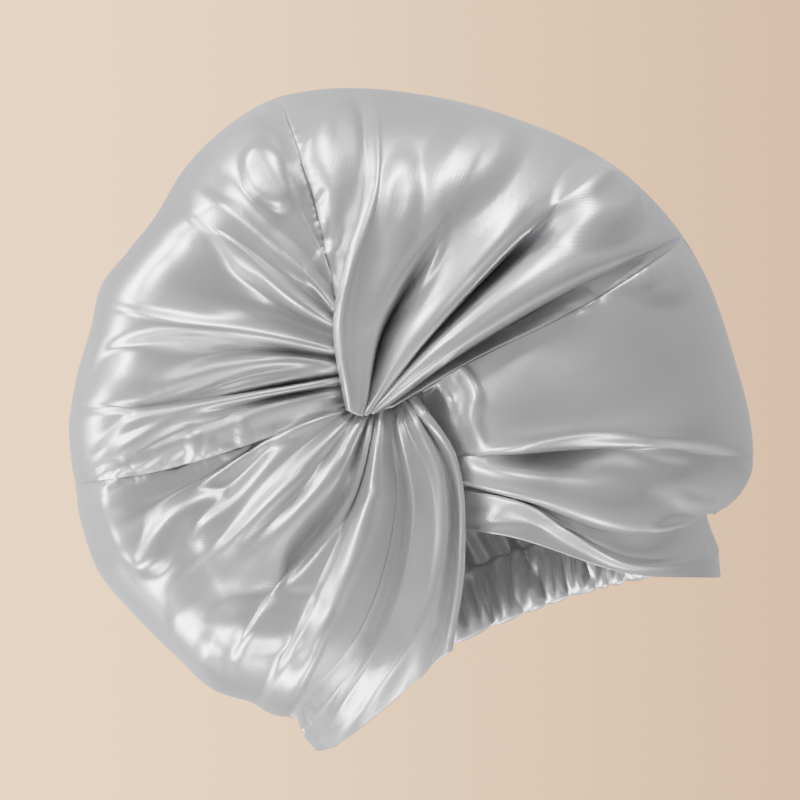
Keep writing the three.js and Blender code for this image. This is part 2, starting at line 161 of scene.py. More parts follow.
# A fold line. x and z are its root, as shares of CROWN_RADIUS from the knot, and deg is where it meets the
# outline. near and far bow it to its left, as shares of its length. lifts stand proud (+) or sink (-), as
# shares of FOLD_HEIGHT at LIFT_STATIONS. lean pushes the line sideways over its neighbour, in millimetres.
Fold = namedtuple("Fold", "x z deg near far lifts lean", defaults=(0,))
LIFT_STATIONS = (0, 0.08, 0.2, 0.38, 0.6, 0.8, 1)
BOW_STATIONS = (0, 0.28, 0.66, 1)

SEAM_RIGHT = Fold(0.015, -0.03, 5, 0, -0.02, (0, -0.4, -0.6, -0.6, -0.35, -0.2, -0.1))
SEAM_TOP = Fold(-0.11, 0.016, 86, -0.033, -0.037, (0.1, 0.1, 0, -0.2, -0.4, -0.35, -0.1))
SEAM_LEFT = Fold(-0.1, 0.03, 172, 0.03, 0.04, (-0.4, -0.4, -0.2, -0.15, -0.15, -0.15, -0.1))
DEEP_FOLD = Fold(-0.004, -0.022, 231, 0.11, 0.12, (-0.6, -0.5, -0.6, -0.6, -0.7, -0.7, -0.3))

CROWN_RIGHT = [
    SEAM_RIGHT,
    Fold(-0.02, -0.024, 6, 0.025, 0.025, (0, -0.5, -1.2, -1.5, -1.2, -0.4, 0)),
    Fold(-0.045, -0.02, 6.5, 0.04, 0.045, (0.2, 0.3, 0.45, 0.55, 0.5, 0.25, 0), -2.5),
    Fold(-0.05, -0.02, 9, 0.045, 0.06, (0.3, 0.5, 0.7, 0.8, 0.65, 0.3, 0)),
    Fold(-0.055, -0.019, 14, 0.045, 0.065, (0.25, 0.4, 0.5, 0.45, 0.25, 0.15, 0)),
    Fold(-0.06, -0.018, 19, 0.035, 0.05, (0.1, 0.1, -0.1, -0.4, -0.7, 0, 0)),
    Fold(-0.065, -0.018, 23, 0.03, 0.035, (0, -0.3, -0.7, -1.1, -1.3, 0.1, 0)),
    Fold(-0.068, -0.018, 25, 0.03, 0.03, (0.2, 0.3, 0.4, 0.45, 0.45, 0.1, 0), -2),
    Fold(-0.07, -0.018, 28, 0.025, 0.02, (0.35, 0.5, 0.6, 0.6, 0.5, 0.15, 0)),
    Fold(-0.073, -0.018, 35, 0.03, 0.01, (0.2, 0.3, 0.35, 0.3, 0.2, 0.15, 0)),
    Fold(-0.075, -0.018, 41, 0.05, 0.01, (0.05, 0, -0.3, -0.5, 0, 0.1, 0)),
    Fold(-0.077, -0.018, 44, 0.06, 0.012, (0, -0.5, -1.1, -1.2, 0, 0.1, 0)),
    Fold(-0.08, -0.017, 46.5, 0.065, 0.02, (0.2, 0.35, 0.4, 0.4, 0.2, 0.15, 0), -1.5),
    Fold(-0.085, -0.014, 50, 0.065, 0.02, (0.4, 0.5, 0.5, 0.45, 0.25, 0.15, 0)),
    Fold(-0.095, -0.004, 60, 0.06, 0, (0.4, 0.45, 0.45, 0.35, 0.2, 0.1, 0)),
    Fold(-0.102, 0.007, 67, 0.05, -0.02, (0.35, 0.55, 0.55, 0.45, 0.3, 0.15, 0)),
    Fold(-0.106, 0.012, 69, 0.045, -0.03, (0.3, 0.75, 0.75, 0.65, 0.45, 0.2, 0)),
    Fold(-0.109, 0.014, 70.5, 0.045, -0.03, (0.1, 0.4, 0.4, 0.3, 0.15, 0, 0), 1.5),
    Fold(-0.109, 0.015, 73, 0.03, -0.03, (0, 0, -0.1, -0.4, -0.4, -0.2, 0)),
    Fold(-0.109, 0.015, 80, 0, -0.03, (0, 0, -0.1, -0.3, -0.15, 0, 0)),
    SEAM_TOP,
]

# The crown's left panel comes out from under the tongue. x is how far down the tongue's edge the line
# starts, as a share of the way from TUCK_TOP on the top seam to the knot, and z how far under the edge, in
# millimetres.
TUCK_TOP = 0.37
CROWN_LEFT = [
    SEAM_TOP,
    Fold(0.08, 1, 90, 0, -0.01, (-0.2, -0.3, -0.4, -0.26, -0.09, -0.03, 0)),
    Fold(0.14, 3, 95, -0.03, -0.02, (-0.5, -0.3, -0.1, 0.07, 0.15, 0.12, 0)),
    Fold(0.2, 4, 101, -0.02, 0.02, (-0.6, -0.4, -0.3, -0.13, -0.09, -0.04, 0)),
    Fold(0.27, 4, 106, -0.02, 0, (-0.6, -0.2, 0.1, 0.13, 0.03, 0.03, 0)),
    Fold(0.33, 4, 110, -0.04, -0.03, (-0.6, 0.1, 0.4, 0.29, 0.1, 0.09, 0)),
    Fold(0.36, 4, 114, -0.02, -0.02, (-0.6, -0.3, -0.1, 0.07, 0.04, 0.03, 0)),
    Fold(0.4, 4, 120, -0.01, -0.09, (-0.5, 0.2, 0.5, 0.39, 0.18, 0.1, 0)),
    Fold(0.43, 4, 124, -0.02, -0.08, (-0.55, -0.1, 0.1, 0.07, 0.01, 0, 0)),
    Fold(0.46, 4, 128, -0.03, -0.07, (-0.6, -0.4, -0.35, -0.23, -0.09, -0.04, 0)),
    Fold(0.52, 4, 134, -0.03, -0.04, (-0.6, -0.45, -0.5, -0.33, -0.12, -0.06, 0)),
    Fold(0.57, 4, 137.5, 0, 0.02, (-0.5, 0.2, 0.4, 0.29, 0.15, 0.1, 0)),
    Fold(0.59, 4, 141, 0, 0.025, (-0.6, -0.3, -0.1, 0.07, 0.06, 0.06, 0)),
    Fold(0.62, 4, 146, -0.01, 0.03, (-0.6, -0.5, -0.5, -0.33, -0.14, -0.07, 0)),
    Fold(0.67, 4, 152, -0.02, 0.04, (-0.5, 0.1, 0.25, 0.2, 0.09, 0.07, 0)),
    Fold(0.7, 4, 156.5, 0.01, 0.03, (-0.5, -0.1, 0, 0, 0.03, 0.03, 0)),
    Fold(0.72, 4, 158.5, 0.02, 0.03, (-0.6, -0.7, -0.95, -0.65, -0.18, -0.09, 0)),
    Fold(0.76, 4, 160.5, 0.01, 0.02, (-0.5, 0.15, 0.35, 0.26, 0.09, 0.06, 0)),
    Fold(0.81, 4, 165, -0.01, 0, (-0.6, -0.4, -0.5, -0.29, -0.09, -0.06, 0)),
    Fold(0.86, 3, 168, -0.01, 0.01, (-0.5, 0, 0.15, 0.13, 0.06, 0.06, 0)),
    Fold(0.93, 1.5, 170, 0.01, 0.02, (-0.4, -0.3, -0.1, 0, 0, 0, 0)),
    SEAM_LEFT,
]

SIDE_LEFT = [
    SEAM_LEFT,
    Fold(-0.1, 0.024, 176, 0.01, 0.05, (-0.6, -0.3, -0.1, -0.1, -0.09, -0.06, 0)),
    Fold(-0.095, 0.02, 182, -0.02, 0, (-0.6, -0.1, 0.1, 0, -0.12, -0.09, 0)),
    Fold(-0.092, 0.015, 188, -0.05, -0.03, (-0.5, 0.1, 0.3, 0.26, 0.15, 0.09, 0)),
    Fold(-0.088, 0.01, 195, -0.02, 0, (-0.5, -0.1, -0.2, -0.13, 0, 0, 0)),
    Fold(-0.084, 0.004, 201, 0, 0, (-0.4, 0.2, 0.35, 0.29, 0.03, 0, 0)),
    Fold(-0.078, -0.002, 204, 0.02, 0, (-0.3, 0.1, 0.1, -0.07, 0, 0.03, 0)),
    Fold(-0.073, -0.01, 207, 0.04, 0.01, (-0.1, 0.4, 0.5, 0.33, 0.06, 0, 0)),
    Fold(-0.06, -0.012, 211, 0.045, 0.015, (-0.1, 0.3, 0.4, 0.13, -0.03, 0.06, 0)),
    Fold(-0.05, -0.014, 215, 0.05, 0.02, (-0.2, -0.3, -0.4, -0.39, -0.15, -0.06, 0)),
    Fold(-0.042, -0.015, 219, 0.06, -0.01, (-0.2, 0.1, 0.1, 0.13, 0.03, 0.09, 0)),
    Fold(-0.033, -0.016, 223, 0.05, 0.04, (-0.2, -0.3, -0.3, -0.2, -0.09, 0, 0)),
    Fold(-0.02, -0.017, 226, 0.045, 0.035, (-0.1, 0.1, 0.25, 0.35, 0.4, 0.35, 0.1)),
    Fold(-0.016, -0.018, 229, 0.06, 0.055, (-0.2, 0.3, 0.5, 0.6, 0.55, 0.45, 0)),
    DEEP_FOLD,
]

# The right side panel starts behind the left wrap of the front band.
FOLD_UNDER_WRAP = Fold(0.08, -0.3, -42, -0.03, -0.115, (-1.9, -1.3, -0.9, -0.8, -0.7, -0.5, -0.3))
HIDDEN_SHARE = 0.1
SIDE_RIGHT = [
    FOLD_UNDER_WRAP,
    Fold(0.084, -0.29, -40.5, -0.03, -0.105, (-1.9, -0.7, 0, 0.1, 0.15, 0.1, 0), -1),
    Fold(0.086, -0.28, -39, -0.03, -0.09, (-1.9, -0.6, 0.15, 0.35, 0.4, 0.3, 0)),
    Fold(0.09, -0.25, -36, -0.02, -0.03, (-1.8, -0.6, 0.1, 0.25, 0.35, 0.35, 0)),
    Fold(0.094, -0.222, -32.5, 0.01, 0.03, (-1.8, -0.8, -0.5, -0.7, -0.6, 0, 0)),
    Fold(0.098, -0.21, -31, 0.015, 0.035, (-1.8, -0.6, 0.2, 0.3, 0.3, 0.2, 0), -1),
    Fold(0.1, -0.195, -29, 0.02, 0.04, (-1.8, -0.5, 0.3, 0.32, 0.28, 0.2, 0)),
    Fold(0.1, -0.12, -20, -0.04, -0.03, (-1.7, -0.5, 0.2, 0.15, 0.1, 0.1, 0)),
    Fold(0.108, -0.06, -10, -0.06, -0.06, (-1.6, -0.5, 0.15, 0.05, 0.05, 0.05, 0)),
    Fold(0.114, -0.03, -1, -0.04, -0.05, (-1.3, -0.6, -0.2, -0.2, -0.1, -0.05, 0)),
    SEAM_RIGHT,
]

# The front band's lines end on the hem. across is the end's distance from the opening's middle as a share
# of half its width, drop how far it hangs below the knot, and band how far it has left the crown's form.
BandFold = namedtuple("BandFold", "x z across drop near far band lifts lean", defaults=(0,))
WRAP_LEFT = [
    DEEP_FOLD,
    BandFold(0.012, -0.026, -1.01, 0.925, 0.115, 0.12, 0.6, (-0.5, -0.2, -0.3, -0.35, -0.3, -0.2, 0)),
    BandFold(0.02, -0.028, -1, 0.985, 0.125, 0.125, 0.9, (-0.5, 0.3, 0.6, 0.6, 0.6, 0.5, 0.1)),
    BandFold(0.024, -0.028, -0.985, 1.002, 0.125, 0.125, 0.95, (-0.5, 0.2, 0.6, 0.7, 0.7, 0.6, 0.1)),
    BandFold(0.032, -0.028, -0.87, 1.006, 0.13, 0.13, 1, (-0.5, 0, 0.4, 0.7, 0.8, 0.7, 0.2)),
    BandFold(0.042, -0.026, -0.7, 0.967, 0.13, 0.13, 1, (-0.5, 0.1, 0.3, 0.6, 0.8, 0.8, 0.3)),
    BandFold(0.056, -0.022, -0.48, 0.908, 0.12, 0.11, 1, (-0.5, 0.5, 0.6, 0.6, 0.7, 0.6, 0.2)),
    BandFold(0.064, -0.019, -0.38, 0.882, 0.12, 0.1, 1, (-0.5, 0, 0.1, 0, 0, 0.1, 0)),
    BandFold(0.07, -0.016, -0.31, 0.863, 0.12, 0.1, 1, (-0.5, 0.4, 0.3, 0, -0.1, 0, 0)),
    BandFold(0.08, -0.013, -0.27, 0.855, 0.125, 0.1, 1, (-0.5, 0.4, 0.5, 0.5, 0.4, 0.3, 0)),
    BandFold(0.086, -0.012, -0.255, 0.85, 0.125, 0.1, 1, (-0.6, 0, 0, -0.2, -0.2, -0.1, -0.1), -0.5),
]
WRAP_RIGHT = [
    FOLD_UNDER_WRAP,
    BandFold(0.05, -0.29, 1, 0.9, 0.01, -0.09, 0.8, (-1.4, -0.9, -0.5, -0.3, -0.1, 0, 0)),
    BandFold(0.033, -0.287, 1, 0.93, 0.01, -0.1, 1, (-1.4, -0.8, 0.2, 0.5, 0.4, 0.2, 0)),
    BandFold(0.02, -0.33, 1, 0.96, 0.01, -0.08, 1, (-1.4, -1, -0.2, 0, 0.1, 0.1, 0)),
    BandFold(-0.003, -0.4, 1, 1, 0.01, -0.04, 1, (-1.4, -1, -0.3, -0.1, 0, 0, 0)),
]

# Local relief, by panel, through places in millimetres from the knot, with x to the right and z up.
# A crease stands proud (+height) or sinks (-height), and width is how far it spreads to each side.
Crease = namedtuple("Crease", "places height width")
# A step lifts the ground to the left of its path over the ground to its right. Closed, it rings a plateau.
Step = namedtuple("Step", "places height width")
# A puff is an oval swelling with a flattened top: long and short are its half-lengths, turn the long one's
# angle in degrees from x.
Puff = namedtuple("Puff", "x z long short turn height")

RELIEF = {
    "crown_right": (
        Crease([(-5, 8), (8, 27), (20, 40), (34, 52), (48, 64), (58, 69)], -3, 5),
        Step([(19, 37), (32, 40), (49, 51), (58, 62), (61, 71)], 3, 2),
        Crease([(59, 32), (85, 43), (106, 54)], -4, 6),
        Crease([(-9, 34), (2, 55), (16, 75), (34, 97)], 2.5, 3.5),
        Step(
            [(16, 78), (28, 97), (37, 116), (42, 133), (40, 145), (31, 144), (20, 137), (11, 128),
             (7, 112)],
            4.5, 2.4,
        ),
        Puff(138, 48, 24, 17, 20, 9),
        Puff(86, 92, 30, 16, 30, 4),
        Puff(44, 86, 22, 9, 60, 3),
    ),
    "crown_left": (
        Step(
            [(1, 118), (3, 136), (-1, 149), (-8, 155), (-19, 154), (-32, 149), (-42, 143),
             (-50, 132), (-52, 120)],
            5, 2.4,
        ),
        Step(
            [(-2, 110), (1, 124), (-3, 133), (-11, 137), (-18, 133), (-20, 122), (-16, 113),
             (-9, 107), (-2, 110)],
            5, 2.2,
        ),
        Step([(-3, 45), (-10, 58), (-15, 76), (-23, 97), (-32, 116), (-42, 128)], 5.5, 2.4),
        Step([(-60, 128), (-46, 108), (-40, 87), (-31, 73), (-22, 60), (-5, 41)], 5.5, 2.4),
        Step(
            [(-52, 121), (-62, 122), (-73, 121), (-84, 115), (-98, 110), (-107, 105), (-110, 99)],
            4.5, 2.4,
        ),
        Step([(-5, 27), (-24, 44), (-45, 57), (-62, 66), (-79, 77), (-96, 89), (-109, 100)], 5, 2.4),
        Step(
            [(-138, 60), (-124, 71), (-114, 76), (-101, 75), (-82, 70), (-54, 59), (-29, 43),
             (-8, 28)],
            5, 2.4,
        ),
        Crease([(-97, 49), (-81, 48), (-66, 47), (-46, 42), (-13, 29)], 3, 4),
        Crease([(-115, 43), (-84, 39), (-53, 36), (-14, 27)], -4, 3.5),
        Step(
            [(-120, 66), (-133, 63), (-143, 56), (-150, 46), (-151, 37), (-146, 31), (-140, 30)],
            4, 2.4,
        ),
        Step([(-42, 27), (-72, 34), (-95, 38), (-116, 40), (-128, 37), (-140, 31), (-148, 31)], 4, 2.4),
        Crease([(-130, 20), (-125, 28), (-107, 31), (-92, 30), (-69, 24), (-46, 22)], 2.5, 3.5),
        Crease([(-122, 22), (-101, 25), (-76, 22), (-46, 22)], -2.5, 3),
    ),
    "side_left": (
        Step(
            [(-132, 20), (-145, 13), (-149, 2), (-150, -13), (-147, -24), (-140, -31),
             (-130, -31), (-120, -24)],
            8, 3.2,
        ),
        Step(
            [(-30, 14), (-42, 8), (-54, 3), (-65, -3), (-76, -8), (-88, -11), (-100, -8),
             (-115, -8), (-129, -15), (-139, -24), (-150, -34)],
            8, 3.2,
        ),
        Step(
            [(-30, 2), (-48, -1), (-62, -4), (-72, -8), (-88, -15), (-104, -20), (-111, -26),
             (-111, -34)],
            6.5, 2.4,
        ),
        Step([(-25, -15), (-55, -18), (-71, -22), (-84, -27), (-97, -32), (-106, -35)], 6, 2.4),
        Step([(-84, -68), (-74, -51), (-60, -41), (-42, -33), (-18, -24)], 8, 2.4),
        Step([(-18, -36), (-36, -45), (-52, -52), (-71, -61), (-86, -67)], 6, 2),
        Step([(-110, -52), (-90, -61), (-76, -69), (-54, -74)], 3, 3.6),
        Puff(-92, -78, 24, 11, -22, 3.6),
        Puff(-127, -86, 13, 8, 75, 2),
        Puff(-110, -78, 13, 7, 45, 1),
        Step([(-132, -44), (-139, -60), (-141, -70), (-138, -84), (-130, -102)], 4, 2.8),
        Crease([(-18, -46), (-34, -60), (-51, -75), (-68, -90), (-90, -111), (-106, -124)], 3, 4),
    ),
    "side_right": (
        Crease([(30, 5), (40, 0), (42, -13), (36, -26), (35, -42)], 5, 3),
        Crease([(27, -2), (29, -13), (26, -27)], 3, 2.5),
        Step(
            [(34, -42), (49, -46), (65, -49), (84, -54), (99, -61), (116, -71), (134, -82),
             (150, -92)],
            3, 1.6,
        ),
        Crease([(50, -51), (67, -55), (84, -60), (98, -66)], -4, 4),
        Crease([(103, -66), (114, -76), (128, -84)], 3.5, 4),
        Crease([(108, -96), (118, -104), (128, -108)], 3, 3.5),
        Crease([(92, -110), (104, -109), (116, -113)], 3, 3),
        Crease([(56, 18), (84, -4), (120, -14)], -1, 14),
        Puff(150, 2, 16, 12, -20, 2.5),
    ),
    "front_wrap_left": (
        Crease([(-92, -120), (-74, -118), (-52, -104)], 3, 9),
        Puff(-60, -128, 30, 10, 42, 3),
        Crease([(-60, -92), (-72, -108), (-92, -128)], -3, 7),
        Crease([(10, -70), (0, -100), (-14, -122)], 2, 5),
    ),
    "front_wrap_right": (
        Crease([(17, -67), (46, -76), (74, -92), (92, -112)], 2, 3.5),
        Crease([(14, -72), (44, -84), (70, -100)], -1.5, 3),
        Crease([(70, -116), (98, -122), (120, -124)], -2.5, 8),
    ),
}

# The few big puckers beside the seams.
BIG_PUCKERS = {
    SEAM_TOP: (
        Puff(5, 91, 5, 3.5, 60, 1.1),
        Puff(2, 76, 7, 4, 20, 1.3),
        Puff(13, 79, 8, 4, 70, 1.3),
        Puff(3, 117, 5, 3, 80, 0.8),
        Puff(10, 104, 4, 2.5, 20, -0.8),
        Puff(5, 128, 5, 2.5, 50, 0.6),
    ),
    SEAM_RIGHT: (
        Puff(97, 8, 12, 3.5, 12, 1.1),
        Puff(113, 8, 5, 4, 40, 1.1),
        Puff(125, 13, 6, 2.5, 30, 1),
        Puff(138, 7, 12, 6, -10, 1.1),
        Puff(106, 4, 5, 2.5, -20, -0.8),
        Puff(119, 6, 4, 2.5, 70, -0.8),
    ),
    SEAM_LEFT: (
        Puff(-139, 18, 10, 5, 10, 1.3),
        Puff(-117, 20, 10, 3.5, 10, 1.1),
        Puff(-94, 16, 6, 3, 70, 1.1),
        Puff(-88, 12, 6, 3, 60, 1.1),
        Puff(-79, 6, 6, 3.5, -40, 1),
        Puff(-70, 11, 7, 3, 70, 1.1),
        Puff(-104, 12, 7, 3, 20, -1.1),
        Puff(-128, 14, 6, 3, -30, -1.1),
        Puff(-60, 6, 6, 2.5, 30, 0.8),
    ),
}

# Puckers gather on both sides of each seam: how high they stand, how far they spread and how far apart.
# They start at a share of the seam's length and shrink towards the outline.
PUCKER_HEIGHT = 0.3
PUCKER_SPREAD = 5
PUCKER_PITCH = 7
PUCKERS_FROM = {SEAM_TOP: 0.4, SEAM_RIGHT: 0.5, SEAM_LEFT: 0.16}
PUCKER_START = 0.08
PUCKER_SHRINK = 22
SEAM_PINCH = 0.5
SEAM_PINCH_WIDTH = 1.3

# How the local forms end: creases taper, steps blur between places and fade away to the sides, and puffs
# have soft edges. Relief fades close to the knot and close to the outline.
CREASE_TAPER = 0.6
STEP_SPREAD = 26
STEP_BLUR = 3
STEP_TAPER = 0.5
SAMPLES_PER_PLACE = 6
PUFF_EDGE = 1.45
KNOT_FADE = 25
OUTLINE_FADE = 0.08
SLACK_BROAD = 0.5
SLACK_SMALL = 0.06


def curve_at(keys, values, at):
    """A smooth curve through the keys, at any number of places. values may have one row for each key."""
    keys = np.asarray(keys, float)
    values = np.asarray(values, float)
    at = np.atleast_1d(np.asarray(at, float))
    slopes = np.empty_like(values)
    spans = np.diff(keys)
    steps = np.diff(values, axis=0)
    shape = (-1,) + (1,) * (values.ndim - 1)
    slopes[0] = steps[0] / spans[0]
    slopes[-1] = steps[-1] / spans[-1]
    slopes[1:-1] = (values[2:] - values[:-2]) / (keys[2:] - keys[:-2]).reshape(shape)
    i = np.clip(np.searchsorted(keys, at, side="right") - 1, 0, len(keys) - 2)
    span = spans[i].reshape(shape)
    t = np.clip((at - keys[i]) / spans[i], 0, 1).reshape(shape)
    rise = 3 * t**2 - 2 * t**3
    return (
        (1 - rise) * values[i]
        + rise * values[i + 1]
        + (t**3 - 2 * t**2 + t) * span * slopes[i]
        + (t**3 - t**2) * span * slopes[i + 1]
    )


def mix(a, b, t):
    return a + (b - a) * t


def unit(vectors):
    return vectors / np.maximum(np.linalg.norm(vectors, axis=-1, keepdims=True), 1e-9)


def outline_radius(degrees):
    keys, shares = zip(*OUTLINE)
    degrees = np.asarray(degrees, float)
    return CROWN_RADIUS * curve_at(keys, shares, degrees.ravel()).reshape(degrees.shape)


def front_fullness(degrees):
    keys, values = zip(*FRONT_FULLNESS)
    return curve_at(keys, values, degrees.ravel()).reshape(degrees.shape)


def outline_place(degrees):
    """The outline seen from the front: x and z from the knot."""
    turn = np.radians(degrees)
    return outline_radius(degrees)[..., None] * np.stack([np.cos(turn), np.sin(turn)], -1)


def crown_form(places, side):
    """The smooth crown over places seen from the front, and the way it faces. side is -1 in front."""
    radius = np.linalg.norm(places, axis=-1)
    degrees = np.degrees(np.arctan2(places[..., 1], places[..., 0]))
    degrees = np.where(degrees < -90, degrees + 360, degrees)
    reach = np.minimum(1, radius / outline_radius(degrees))
    depth = FRONT_DEPTH if side < 0 else BACK_DEPTH
    fullness = front_fullness(degrees) if side < 0 else BACK_FULLNESS
    dimple = DIMPLE_DEPTH * np.exp(-((radius / DIMPLE_RADIUS) ** 2)) if side < 0 else 0
    y = WIDEST_Y + side * (depth * np.sqrt(1 - reach**fullness) - dimple)
    points = np.stack([KNOT_SIDE + places[..., 0], y, KNOT_HEIGHT + places[..., 1]], -1)
    turn = np.radians(degrees)
    tilt = reach ** (fullness / 2)
    level = side * np.sqrt(1 - tilt**2)
    facing = np.stack([tilt * np.cos(turn), level, tilt * np.sin(turn)], -1)
    return points, facing


def half_width(height):
    return RIM_HALF_WIDTH + RIM_FLARE * np.clip(height, 0, CASING_HEIGHT) / CASING_HEIGHT


def band_form(places):
    """The front band's form, which follows the forehead."""
    x = KNOT_SIDE + places[..., 0]
    height = np.clip(KNOT_HEIGHT + places[..., 1], 0, KNOT_HEIGHT)
    depth = mix(RIM_DEPTH, FRONT_DEPTH - DIMPLE_DEPTH, (height / KNOT_HEIGHT) ** BAND_BULGE)
    across = np.clip((x - RIM_SIDE) / half_width(height), -1, 1)
    level = np.sqrt(1 - across**2)
    points = np.stack([x, WIDEST_Y - depth * level, KNOT_HEIGHT + places[..., 1]], -1)
    facing = np.stack([across, -level, np.zeros_like(across)], -1)
    return points, facing


def along_line(root, end, fold, shares):
    chord = end - root
    left = np.array([-chord[1], chord[0]])
    bow = curve_at(BOW_STATIONS, (0, fold.near, fold.far, 0), shares)
    lean = fold.lean * np.sin(np.pi * np.clip(shares, 0, 1)) ** 0.5 / np.linalg.norm(chord)
    return root + chord * shares[:, None] + left * (bow + lean)[:, None]


def root_of(fold, tucked):
    if not tucked:
        return CROWN_RADIUS * np.array([fold.x, fold.z])
    share = np.array([TUCK_TOP * (1 - fold.x)])
    edge = along_line(root_of(SEAM_TOP, False), outline_place(SEAM_TOP.deg), SEAM_TOP, share)[0]
    return edge + np.array([fold.z, 0])


def end_of(fold):
    if isinstance(fold, Fold):
        return outline_place(fold.deg)
    height = KNOT_HEIGHT * (1 - fold.drop)
    x = RIM_SIDE + fold.across * half_width(height)
    return np.array([x - KNOT_SIDE, height - KNOT_HEIGHT])


def fold_samples(fold, shares, tucked=False):
    """Places along a fold line and the lift at each."""
    places = along_line(root_of(fold, tucked), end_of(fold), fold, shares)
    lifts = FOLD_HEIGHT * curve_at(LIFT_STATIONS, fold.lifts, shares)
    return places, lifts


def distance_to_path(points, path):
    """How far each point is from a path of straight pieces, how far along it, and the path's length."""
    path = np.asarray(path, float)
    best = np.full(points.shape[:-1], np.inf)
    along = np.zeros(points.shape[:-1])
    walked = 0.0
    for a, b in zip(path[:-1], path[1:]):
        piece = b - a
        length = np.linalg.norm(piece)
        t = np.clip(((points - a) @ piece) / length**2, 0, 1)
        away = np.linalg.norm(points - a - t[..., None] * piece, axis=-1)
        nearer = away < best
        best = np.where(nearer, away, best)
        along = np.where(nearer, walked + t * length, along)
        walked += length
    return best, along, walked


def smooth_path(path, count=24):
    path = np.asarray(path, float)
    return curve_at(np.arange(len(path)), path, np.linspace(0, len(path) - 1, count))


def crease_lift(points, crease):
    away, along, length = distance_to_path(points, smooth_path(crease.places))
    taper = np.sin(np.pi * np.clip(along / length, 0.02, 0.98)) ** CREASE_TAPER
    return crease.height * taper * np.exp(-((away / crease.width) ** 2))


def step_lift(points, step):
    """Each place along the path lifts its own left side, and the nearest places count for most."""
    path = smooth_path(step.places, SAMPLES_PER_PLACE * len(step.places))
    run = unit(np.gradient(path, axis=0))
    full = np.ones(len(path))
    if step.places[0] == step.places[-1]:
        run[0] = run[-1] = unit(run[0] + run[-1])
    else:
        full = np.sin(np.pi * np.linspace(0, 1, len(path))) ** STEP_TAPER
    away = points[..., None, :] - path
    reach = np.linalg.norm(away, axis=-1)
    nearest = reach.min(-1)
    weight = np.exp(-(reach - nearest[..., None]) / STEP_BLUR)
    left = run[:, 0] * away[..., 1] - run[:, 1] * away[..., 0]
    rise = (weight * full * np.tanh(left / step.width)).sum(-1) / weight.sum(-1)
    return 0.5 * step.height * rise * np.exp(-((nearest / STEP_SPREAD) ** 2))


def puff_lift(points, puff):
    turn = math.radians(puff.turn)
    step = points - np.array([puff.x, puff.z])
    along = step[..., 0] * math.cos(turn) + step[..., 1] * math.sin(turn)
    across = step[..., 1] * math.cos(turn) - step[..., 0] * math.sin(turn)
    reach = np.sqrt((along / puff.long) ** 2 + (across / puff.short) ** 2)
    edge = np.clip(PUFF_EDGE - reach, 0, 1)
    return puff.height * edge**2 * (3 - 2 * edge)


def form_lift(points, form):
    if isinstance(form, Crease):
        return crease_lift(points, form)
    return step_lift(points, form) if isinstance(form, Step) else puff_lift(points, form)


def seam_lift(points, seam):
    """Puckers beside a seam, none of them quite like the next, and the pinch of the seam itself."""
    shares = np.linspace(0, 1, 60)
    path = along_line(root_of(seam, False), outline_place(seam.deg), seam, shares)
    away, along, length = distance_to_path(points, path)
    turn = 2 * np.pi * along / PUCKER_PITCH
    waves = np.sin(turn + 2.4 * np.sin(along / 13 + seam.deg) + 0.3 * away)
    ripple = np.sin(1.7 * turn + 1.9 * np.sin(along / 9) - 0.25 * away)
    waves = waves * np.sin(0.37 * turn + seam.deg) + 0.6 * ripple
    shown = np.clip((along / length - PUCKERS_FROM[seam]) / PUCKER_START, 0, 1)
    ends = shown * np.clip((length - along) / PUCKER_SHRINK, 0.15, 1)
    pucker = PUCKER_HEIGHT * ends * waves * np.exp(-((away / PUCKER_SPREAD) ** 1.4))
    return pucker - SEAM_PINCH * shown * np.exp(-((away / SEAM_PINCH_WIDTH) ** 2))


def slack_lift(points):
    """The slight unevenness that loose cloth has everywhere, in waves that never quite repeat."""
    x, z = points[..., 0], points[..., 1]
    broad = np.sin(x / 13 + 1.3 * np.sin(z / 21)) * np.sin(z / 15 + 1.1 * np.sin(x / 17) + 1)
    small = np.sin(x / 6.1 - z / 9.3 + 1.2 * np.sin(z / 8)) * np.sin(z / 7.2 + x / 11.7)
    return SLACK_BROAD * broad + SLACK_SMALL * small


def relief(name, points, seams):
    """How far the cloth stands from its fold lines' surface, in millimetres."""
    lift = slack_lift(points)
    for form in RELIEF[name]:
        lift = lift + form_lift(points, form)
    for seam in seams:
        lift = lift + seam_lift(points, seam)
        for form in BIG_PUCKERS[seam]:
            lift = lift + form_lift(points, form)
    edge = np.clip(np.linalg.norm(points, axis=-1) / KNOT_FADE, 0, 1)
    return lift * edge


def across_lines(rows, per_fold):
    """Carries each quantity smoothly from line to line: rows is lines by samples by anything."""
    count = (len(rows) - 1) * per_fold + 1
    at = np.linspace(0, len(rows) - 1, count)
    return curve_at(np.arange(len(rows)), rows, at)


def front_shares(count):
    """Shares of a line's length, closer together at the knot and at the outline."""
    even = np.linspace(0, 1, count)
    return np.clip(even - CROWDING * np.sin(2 * np.pi * even) * (1 - 0.5 * even), 0, 1)


def mesh_object(name, points, faces, uvs=None):
    mesh = bpy.data.meshes.new(name)
    mesh.from_pydata((points * MM).tolist(), [], faces)
    if uvs is not None:
        layer = mesh.uv_layers.new(name="cloth")
        corners = np.empty(len(mesh.loops), np.int32)
        mesh.loops.foreach_get("vertex_index", corners)
        layer.data.foreach_set("uv", (uvs * MM)[corners].ravel())
    mesh.shade_smooth()
    obj = bpy.data.objects.new(name, mesh)
    bpy.context.scene.collection.objects.link(obj)
    return obj


def grid_faces(columns, rows, flip=False):
    i, j = np.meshgrid(np.arange(columns - 1), np.arange(rows - 1), indexing="ij")
    a = i * rows + j
    quads = np.stack([a, a + rows, a + rows + 1, a + 1], -1).reshape(-1, 4)
    return (quads[:, ::-1] if flip else quads).tolist()


